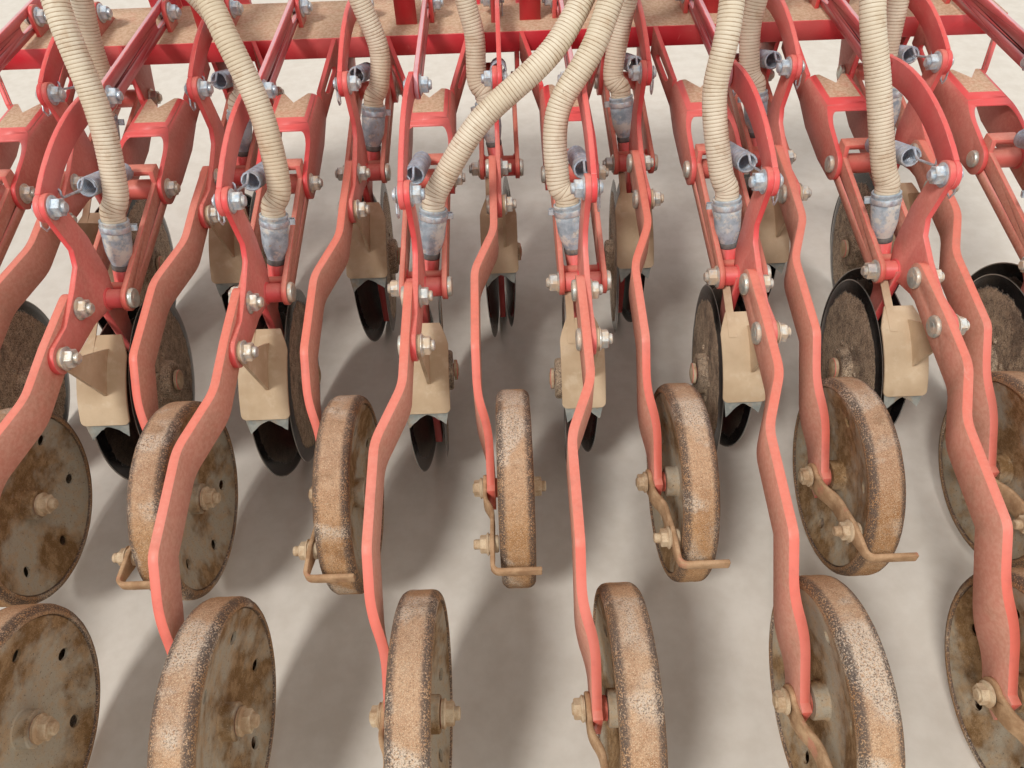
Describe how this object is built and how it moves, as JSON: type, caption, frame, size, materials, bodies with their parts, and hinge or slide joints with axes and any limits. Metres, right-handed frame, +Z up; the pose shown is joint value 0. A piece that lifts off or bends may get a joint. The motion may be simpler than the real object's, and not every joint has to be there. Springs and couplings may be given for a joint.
{
  "type": "seed drill coulter bar",
  "caption": "Coulter bar of a pneumatic seed drill: a beam with two ranks of double-disc openers, press wheels and seed hoses.",
  "frame": {"origin": "Middle of the front face of the centre mounting flange", "axes": "+X along the beam to the right in the travel direction, +Y forward, +Z up"},
  "size_m": [1.9123, 1.471, 0.9288],
  "materials": {
    "red_paint": "faded red paint, dusty",
    "zinc": "dull zinc plate",
    "grey_rubber": "matt grey rubber",
    "hose_plastic": "ribbed, dusty",
    "guard_plastic": "dusty",
    "tyre": "rubber under dry soil dust",
    "disc_steel": "dark, worn, soiled"
  },
  "bodies": {
    "coulter_bar": {"beam": "red_paint", "yokes": "red_paint", "opener_frames": "red_paint", "main_plates": "red_paint", "wheel_arms": "red_paint", "curved_links": "red_paint", "slotted_links": "red_paint", "slot_lugs": "red_paint", "springs": "zinc", "hose_boots": "grey_rubber", "seed_hoses": "hose_plastic", "disc_guards": "guard_plastic", "wheel_scrapers": "red_paint", "pivot_bolts": "zinc", "hose_rail": "red_paint"},
    "press_wheel_r1": {"press_wheel_r1": "tyre"},
    "disc_left_r1": {"disc_left_r1": "disc_steel"},
    "disc_right_r1": {"disc_right_r1": "disc_steel"},
    "press_wheel_r2": {"press_wheel_r2": "tyre"},
    "disc_left_r2": {"disc_left_r2": "disc_steel"},
    "disc_right_r2": {"disc_right_r2": "disc_steel"},
    "press_wheel_r3": {"press_wheel_r3": "tyre"},
    "disc_left_r3": {"disc_left_r3": "disc_steel"},
    "disc_right_r3": {"disc_right_r3": "disc_steel"},
    "press_wheel_r4": {"press_wheel_r4": "tyre"},
    "disc_left_r4": {"disc_left_r4": "disc_steel"},
    "disc_right_r4": {"disc_right_r4": "disc_steel"},
    "press_wheel_r5": {"press_wheel_r5": "tyre"},
    "disc_left_r5": {"disc_left_r5": "disc_steel"},
    "disc_right_r5": {"disc_right_r5": "disc_steel"},
    "press_wheel_r6": {"press_wheel_r6": "tyre"},
    "disc_left_r6": {"disc_left_r6": "disc_steel"},
    "disc_right_r6": {"disc_right_r6": "disc_steel"},
    "press_wheel_r7": {"press_wheel_r7": "tyre"},
    "disc_left_r7": {"disc_left_r7": "disc_steel"},
    "disc_right_r7": {"disc_right_r7": "disc_steel"},
    "press_wheel_r8": {"press_wheel_r8": "tyre"},
    "disc_left_r8": {"disc_left_r8": "disc_steel"},
    "disc_right_r8": {"disc_right_r8": "disc_steel"},
    "press_wheel_f1": {"press_wheel_f1": "tyre"},
    "disc_left_f1": {"disc_left_f1": "disc_steel"},
    "disc_right_f1": {"disc_right_f1": "disc_steel"},
    "press_wheel_f2": {"press_wheel_f2": "tyre"},
    "disc_left_f2": {"disc_left_f2": "disc_steel"},
    "disc_right_f2": {"disc_right_f2": "disc_steel"},
    "press_wheel_f3": {"press_wheel_f3": "tyre"},
    "disc_left_f3": {"disc_left_f3": "disc_steel"},
    "disc_right_f3": {"disc_right_f3": "disc_steel"},
    "press_wheel_f4": {"press_wheel_f4": "tyre"},
    "disc_left_f4": {"disc_left_f4": "disc_steel"},
    "disc_right_f4": {"disc_right_f4": "disc_steel"},
    "press_wheel_f5": {"press_wheel_f5": "tyre"},
    "disc_left_f5": {"disc_left_f5": "disc_steel"},
    "disc_right_f5": {"disc_right_f5": "disc_steel"},
    "press_wheel_f6": {"press_wheel_f6": "tyre"},
    "disc_left_f6": {"disc_left_f6": "disc_steel"},
    "disc_right_f6": {"disc_right_f6": "disc_steel"},
    "press_wheel_f7": {"press_wheel_f7": "tyre"},
    "disc_left_f7": {"disc_left_f7": "disc_steel"},
    "disc_right_f7": {"disc_right_f7": "disc_steel"}
  },
  "joints": [
    {"name": "press_wheel_r1_spin", "type": "hinge", "parent": "coulter_bar", "child": "press_wheel_r1", "pos_m": [-0.875, -1.298, -0.339], "axis": [1, 0, 0], "continuous": true},
    {"name": "disc_left_r1_spin", "type": "hinge", "parent": "coulter_bar", "child": "disc_left_r1", "pos_m": [-0.9062, -0.716, -0.367], "axis": [-0.9972, 0.0614, -0.043], "continuous": true},
    {"name": "disc_right_r1_spin", "type": "hinge", "parent": "coulter_bar", "child": "disc_right_r1", "pos_m": [-0.8718, -0.686, -0.367], "axis": [0.9972, 0.0614, -0.043], "continuous": true},
    {"name": "press_wheel_r2_spin", "type": "hinge", "parent": "coulter_bar", "child": "press_wheel_r2", "pos_m": [-0.625, -1.298, -0.339], "axis": [1, 0, 0], "continuous": true},
    {"name": "disc_left_r2_spin", "type": "hinge", "parent": "coulter_bar", "child": "disc_left_r2", "pos_m": [-0.6562, -0.716, -0.367], "axis": [-0.9972, 0.0614, -0.043], "continuous": true},
    {"name": "disc_right_r2_spin", "type": "hinge", "parent": "coulter_bar", "child": "disc_right_r2", "pos_m": [-0.6218, -0.686, -0.367], "axis": [0.9972, 0.0614, -0.043], "continuous": true},
    {"name": "press_wheel_r3_spin", "type": "hinge", "parent": "coulter_bar", "child": "press_wheel_r3", "pos_m": [-0.375, -1.298, -0.339], "axis": [1, 0, 0], "continuous": true},
    {"name": "disc_left_r3_spin", "type": "hinge", "parent": "coulter_bar", "child": "disc_left_r3", "pos_m": [-0.4062, -0.716, -0.367], "axis": [-0.9972, 0.0614, -0.043], "continuous": true},
    {"name": "disc_right_r3_spin", "type": "hinge", "parent": "coulter_bar", "child": "disc_right_r3", "pos_m": [-0.3718, -0.686, -0.367], "axis": [0.9972, 0.0614, -0.043], "continuous": true},
    {"name": "press_wheel_r4_spin", "type": "hinge", "parent": "coulter_bar", "child": "press_wheel_r4", "pos_m": [-0.125, -1.298, -0.339], "axis": [1, 0, 0], "continuous": true},
    {"name": "disc_left_r4_spin", "type": "hinge", "parent": "coulter_bar", "child": "disc_left_r4", "pos_m": [-0.1562, -0.716, -0.367], "axis": [-0.9972, 0.0614, -0.043], "continuous": true},
    {"name": "disc_right_r4_spin", "type": "hinge", "parent": "coulter_bar", "child": "disc_right_r4", "pos_m": [-0.1218, -0.686, -0.367], "axis": [0.9972, 0.0614, -0.043], "continuous": true},
    {"name": "press_wheel_r5_spin", "type": "hinge", "parent": "coulter_bar", "child": "press_wheel_r5", "pos_m": [0.125, -1.298, -0.339], "axis": [1, 0, 0], "continuous": true},
    {"name": "disc_left_r5_spin", "type": "hinge", "parent": "coulter_bar", "child": "disc_left_r5", "pos_m": [0.0938, -0.716, -0.367], "axis": [-0.9972, 0.0614, -0.043], "continuous": true},
    {"name": "disc_right_r5_spin", "type": "hinge", "parent": "coulter_bar", "child": "disc_right_r5", "pos_m": [0.1282, -0.686, -0.367], "axis": [0.9972, 0.0614, -0.043], "continuous": true},
    {"name": "press_wheel_r6_spin", "type": "hinge", "parent": "coulter_bar", "child": "press_wheel_r6", "pos_m": [0.375, -1.298, -0.339], "axis": [1, 0, 0], "continuous": true},
    {"name": "disc_left_r6_spin", "type": "hinge", "parent": "coulter_bar", "child": "disc_left_r6", "pos_m": [0.3438, -0.716, -0.367], "axis": [-0.9972, 0.0614, -0.043], "continuous": true},
    {"name": "disc_right_r6_spin", "type": "hinge", "parent": "coulter_bar", "child": "disc_right_r6", "pos_m": [0.3782, -0.686, -0.367], "axis": [0.9972, 0.0614, -0.043], "continuous": true},
    {"name": "press_wheel_r7_spin", "type": "hinge", "parent": "coulter_bar", "child": "press_wheel_r7", "pos_m": [0.625, -1.298, -0.339], "axis": [1, 0, 0], "continuous": true},
    {"name": "disc_left_r7_spin", "type": "hinge", "parent": "coulter_bar", "child": "disc_left_r7", "pos_m": [0.5938, -0.716, -0.367], "axis": [-0.9972, 0.0614, -0.043], "continuous": true},
    {"name": "disc_right_r7_spin", "type": "hinge", "parent": "coulter_bar", "child": "disc_right_r7", "pos_m": [0.6282, -0.686, -0.367], "axis": [0.9972, 0.0614, -0.043], "continuous": true},
    {"name": "press_wheel_r8_spin", "type": "hinge", "parent": "coulter_bar", "child": "press_wheel_r8", "pos_m": [0.875, -1.298, -0.339], "axis": [1, 0, 0], "continuous": true},
    {"name": "disc_left_r8_spin", "type": "hinge", "parent": "coulter_bar", "child": "disc_left_r8", "pos_m": [0.8438, -0.716, -0.367], "axis": [-0.9972, 0.0614, -0.043], "continuous": true},
    {"name": "disc_right_r8_spin", "type": "hinge", "parent": "coulter_bar", "child": "disc_right_r8", "pos_m": [0.8782, -0.686, -0.367], "axis": [0.9972, 0.0614, -0.043], "continuous": true},
    {"name": "press_wheel_f1_spin", "type": "hinge", "parent": "coulter_bar", "child": "press_wheel_f1", "pos_m": [-0.75, -0.964, -0.339], "axis": [1, 0, 0], "continuous": true},
    {"name": "disc_left_f1_spin", "type": "hinge", "parent": "coulter_bar", "child": "disc_left_f1", "pos_m": [-0.7812, -0.382, -0.367], "axis": [-0.9972, 0.0614, -0.043], "continuous": true},
    {"name": "disc_right_f1_spin", "type": "hinge", "parent": "coulter_bar", "child": "disc_right_f1", "pos_m": [-0.7468, -0.352, -0.367], "axis": [0.9972, 0.0614, -0.043], "continuous": true},
    {"name": "press_wheel_f2_spin", "type": "hinge", "parent": "coulter_bar", "child": "press_wheel_f2", "pos_m": [-0.5, -0.964, -0.339], "axis": [1, 0, 0], "continuous": true},
    {"name": "disc_left_f2_spin", "type": "hinge", "parent": "coulter_bar", "child": "disc_left_f2", "pos_m": [-0.5312, -0.382, -0.367], "axis": [-0.9972, 0.0614, -0.043], "continuous": true},
    {"name": "disc_right_f2_spin", "type": "hinge", "parent": "coulter_bar", "child": "disc_right_f2", "pos_m": [-0.4968, -0.352, -0.367], "axis": [0.9972, 0.0614, -0.043], "continuous": true},
    {"name": "press_wheel_f3_spin", "type": "hinge", "parent": "coulter_bar", "child": "press_wheel_f3", "pos_m": [-0.25, -0.964, -0.339], "axis": [1, 0, 0], "continuous": true},
    {"name": "disc_left_f3_spin", "type": "hinge", "parent": "coulter_bar", "child": "disc_left_f3", "pos_m": [-0.2812, -0.382, -0.367], "axis": [-0.9972, 0.0614, -0.043], "continuous": true},
    {"name": "disc_right_f3_spin", "type": "hinge", "parent": "coulter_bar", "child": "disc_right_f3", "pos_m": [-0.2468, -0.352, -0.367], "axis": [0.9972, 0.0614, -0.043], "continuous": true},
    {"name": "press_wheel_f4_spin", "type": "hinge", "parent": "coulter_bar", "child": "press_wheel_f4", "pos_m": [0, -0.964, -0.339], "axis": [1, 0, 0], "continuous": true},
    {"name": "disc_left_f4_spin", "type": "hinge", "parent": "coulter_bar", "child": "disc_left_f4", "pos_m": [-0.0312, -0.382, -0.367], "axis": [-0.9972, 0.0614, -0.043], "continuous": true},
    {"name": "disc_right_f4_spin", "type": "hinge", "parent": "coulter_bar", "child": "disc_right_f4", "pos_m": [0.0032, -0.352, -0.367], "axis": [0.9972, 0.0614, -0.043], "continuous": true},
    {"name": "press_wheel_f5_spin", "type": "hinge", "parent": "coulter_bar", "child": "press_wheel_f5", "pos_m": [0.25, -0.964, -0.339], "axis": [1, 0, 0], "continuous": true},
    {"name": "disc_left_f5_spin", "type": "hinge", "parent": "coulter_bar", "child": "disc_left_f5", "pos_m": [0.2188, -0.382, -0.367], "axis": [-0.9972, 0.0614, -0.043], "continuous": true},
    {"name": "disc_right_f5_spin", "type": "hinge", "parent": "coulter_bar", "child": "disc_right_f5", "pos_m": [0.2532, -0.352, -0.367], "axis": [0.9972, 0.0614, -0.043], "continuous": true},
    {"name": "press_wheel_f6_spin", "type": "hinge", "parent": "coulter_bar", "child": "press_wheel_f6", "pos_m": [0.5, -0.964, -0.339], "axis": [1, 0, 0], "continuous": true},
    {"name": "disc_left_f6_spin", "type": "hinge", "parent": "coulter_bar", "child": "disc_left_f6", "pos_m": [0.4688, -0.382, -0.367], "axis": [-0.9972, 0.0614, -0.043], "continuous": true},
    {"name": "disc_right_f6_spin", "type": "hinge", "parent": "coulter_bar", "child": "disc_right_f6", "pos_m": [0.5032, -0.352, -0.367], "axis": [0.9972, 0.0614, -0.043], "continuous": true},
    {"name": "press_wheel_f7_spin", "type": "hinge", "parent": "coulter_bar", "child": "press_wheel_f7", "pos_m": [0.75, -0.964, -0.339], "axis": [1, 0, 0], "continuous": true},
    {"name": "disc_left_f7_spin", "type": "hinge", "parent": "coulter_bar", "child": "disc_left_f7", "pos_m": [0.7188, -0.382, -0.367], "axis": [-0.9972, 0.0614, -0.043], "continuous": true},
    {"name": "disc_right_f7_spin", "type": "hinge", "parent": "coulter_bar", "child": "disc_right_f7", "pos_m": [0.7532, -0.352, -0.367], "axis": [0.9972, 0.0614, -0.043], "continuous": true}
  ]
}
